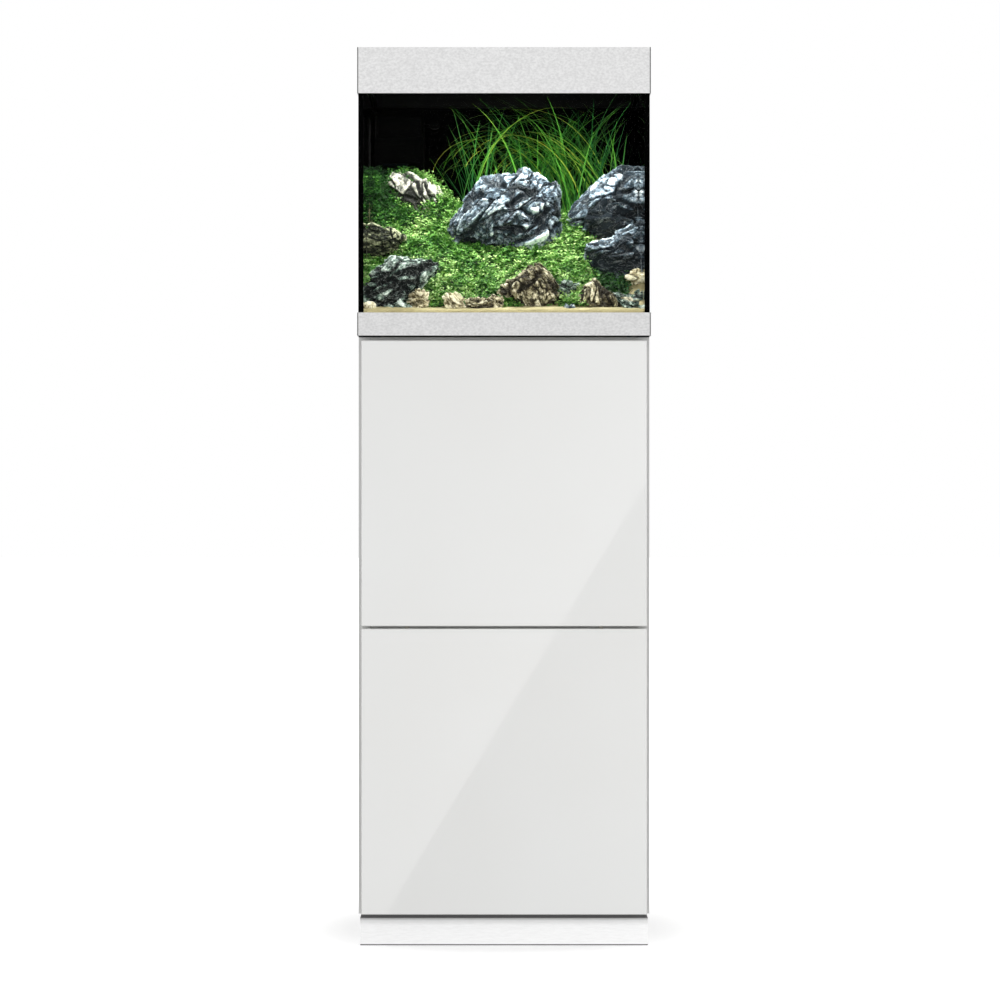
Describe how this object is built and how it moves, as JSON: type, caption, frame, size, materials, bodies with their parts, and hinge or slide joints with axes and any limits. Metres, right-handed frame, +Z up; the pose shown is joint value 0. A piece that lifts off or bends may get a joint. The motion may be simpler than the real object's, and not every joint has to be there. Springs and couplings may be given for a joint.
{
  "type": "aquarium on stand",
  "caption": "Column aquarium: planted glass cube tank with aluminium hood and base trim, on a tall white gloss cabinet with two stacked push-to-open doors and an aluminium plinth.",
  "frame": {"origin": "centre of the footprint on the floor", "axes": "+Z up, -Y out of the doors' front, +X to the viewer's right"},
  "size_m": [0.4526, 0.4526, 1.39],
  "materials": {
    "gloss_white_board": "white high-gloss lacquer on board",
    "white_board": "white melamine-faced board",
    "brushed_aluminium": "fine brushed, anodised",
    "steel": "nickel-plated pressed steel",
    "clear_glass": "polished float glass",
    "black_silicone": "black glazing silicone",
    "black_plastic": "matt black moulding",
    "black_film": "matt black film",
    "black_rubber": "dense rubber strip",
    "clear_rubber": "clear soft bumper",
    "white_plastic": "white moulding",
    "opal_plastic": "opal diffuser",
    "filter_foam": "open-cell black foam",
    "sand": "fine pale yellow sand",
    "grey_stone": "blue-grey layered stone with white veins",
    "brown_stone": "beige and brown weathered stone",
    "grass_leaves": "long thin green blades",
    "carpet_leaves": "small bright green leaves"
  },
  "bodies": {
    "cabinet": {"side_panel_left": "gloss_white_board", "side_panel_right": "gloss_white_board", "top_panel": "white_board", "middle_shelf": "white_board", "bottom_panel": "white_board", "back_panel": "white_board", "plinth_frame": "brushed_aluminium", "base_trim": "brushed_aluminium", "door_bumper_left": "clear_rubber", "door_bumper_right": "clear_rubber", "tank_strip_left": "black_rubber", "tank_strip_right": "black_rubber", "upper_hinge_arm_top": "steel", "upper_hinge_arm_bottom": "steel", "lower_hinge_arm_top": "steel", "lower_hinge_arm_bottom": "steel", "upper_latch_body": "white_plastic", "lower_latch_body": "white_plastic", "base_frame": "black_plastic", "filter_housing": "black_plastic", "pump_head": "black_plastic", "bottom_glass": "clear_glass", "front_glass": "clear_glass", "rear_glass": "clear_glass", "left_glass": "clear_glass", "right_glass": "clear_glass", "heater_tube": "clear_glass", "silicone_seal": "black_silicone", "background_film": "black_film", "filter_foam": "filter_foam", "sand_bed": "sand", "centre_rock": "grey_stone", "right_rock_upper": "grey_stone", "right_rock_lower": "grey_stone", "left_front_rock": "grey_stone", "left_rear_rock": "brown_stone", "left_middle_rock": "brown_stone", "front_rock": "brown_stone", "front_right_rock": "brown_stone", "grass_plant": "grass_leaves", "carpet_plant": "carpet_leaves"},
    "upper_door": {"upper_door": "gloss_white_board", "upper_hinge_cup_top": "steel", "upper_hinge_cup_bottom": "steel", "upper_hinge_pin_top": "steel", "upper_hinge_pin_bottom": "steel"},
    "lower_door": {"lower_door": "gloss_white_board", "lower_hinge_cup_top": "steel", "lower_hinge_cup_bottom": "steel", "lower_hinge_pin_top": "steel", "lower_hinge_pin_bottom": "steel"},
    "upper_plunger": {"upper_latch_plunger": "white_plastic"},
    "lower_plunger": {"lower_latch_plunger": "white_plastic"},
    "hood": {"hood_band": "brushed_aluminium", "hood_frame": "black_plastic", "lid_pin": "steel", "light_housing": "brushed_aluminium", "light_diffuser": "opal_plastic"},
    "feeding_lid": {"feeding_lid": "brushed_aluminium"},
    "outlet": {"outlet_nozzle": "black_plastic"}
  },
  "joints": [
    {"name": "upper_door_hinge", "type": "hinge", "parent": "cabinet", "child": "upper_door", "pos_m": [-0.2115, -0.2175, 0.71775], "axis": [0, 0, -1], "range_deg": [0, 105]},
    {"name": "lower_door_hinge", "type": "hinge", "parent": "cabinet", "child": "lower_door", "pos_m": [-0.2115, -0.2175, 0.27325], "axis": [0, 0, -1], "range_deg": [0, 105]},
    {"name": "upper_latch_slide", "type": "slide", "parent": "cabinet", "child": "upper_plunger", "axis": [0, -1, 0], "range_m": [0, 0.012]},
    {"name": "lower_latch_slide", "type": "slide", "parent": "cabinet", "child": "lower_plunger", "axis": [0, -1, 0], "range_m": [0, 0.012]},
    {"name": "hood_lift", "type": "slide", "parent": "cabinet", "child": "hood", "axis": [0, 0, 1], "range_m": [0, 0.1]},
    {"name": "feeding_lid_hinge", "type": "hinge", "parent": "hood", "child": "feeding_lid", "pos_m": [0, 0.02, 1.386], "axis": [-1, 0, 0], "range_deg": [0, 95]},
    {"name": "outlet_swivel", "type": "hinge", "parent": "cabinet", "child": "outlet", "pos_m": [-0.1332, 0.159, 1.314], "axis": [1, 0, 0], "range_deg": [-30, 30]}
  ],
  "couplings": [
    {"joint": "upper_latch_slide", "follows": "upper_door_hinge", "m_per_rad": 0.0065},
    {"joint": "lower_latch_slide", "follows": "lower_door_hinge", "m_per_rad": 0.0065}
  ]
}
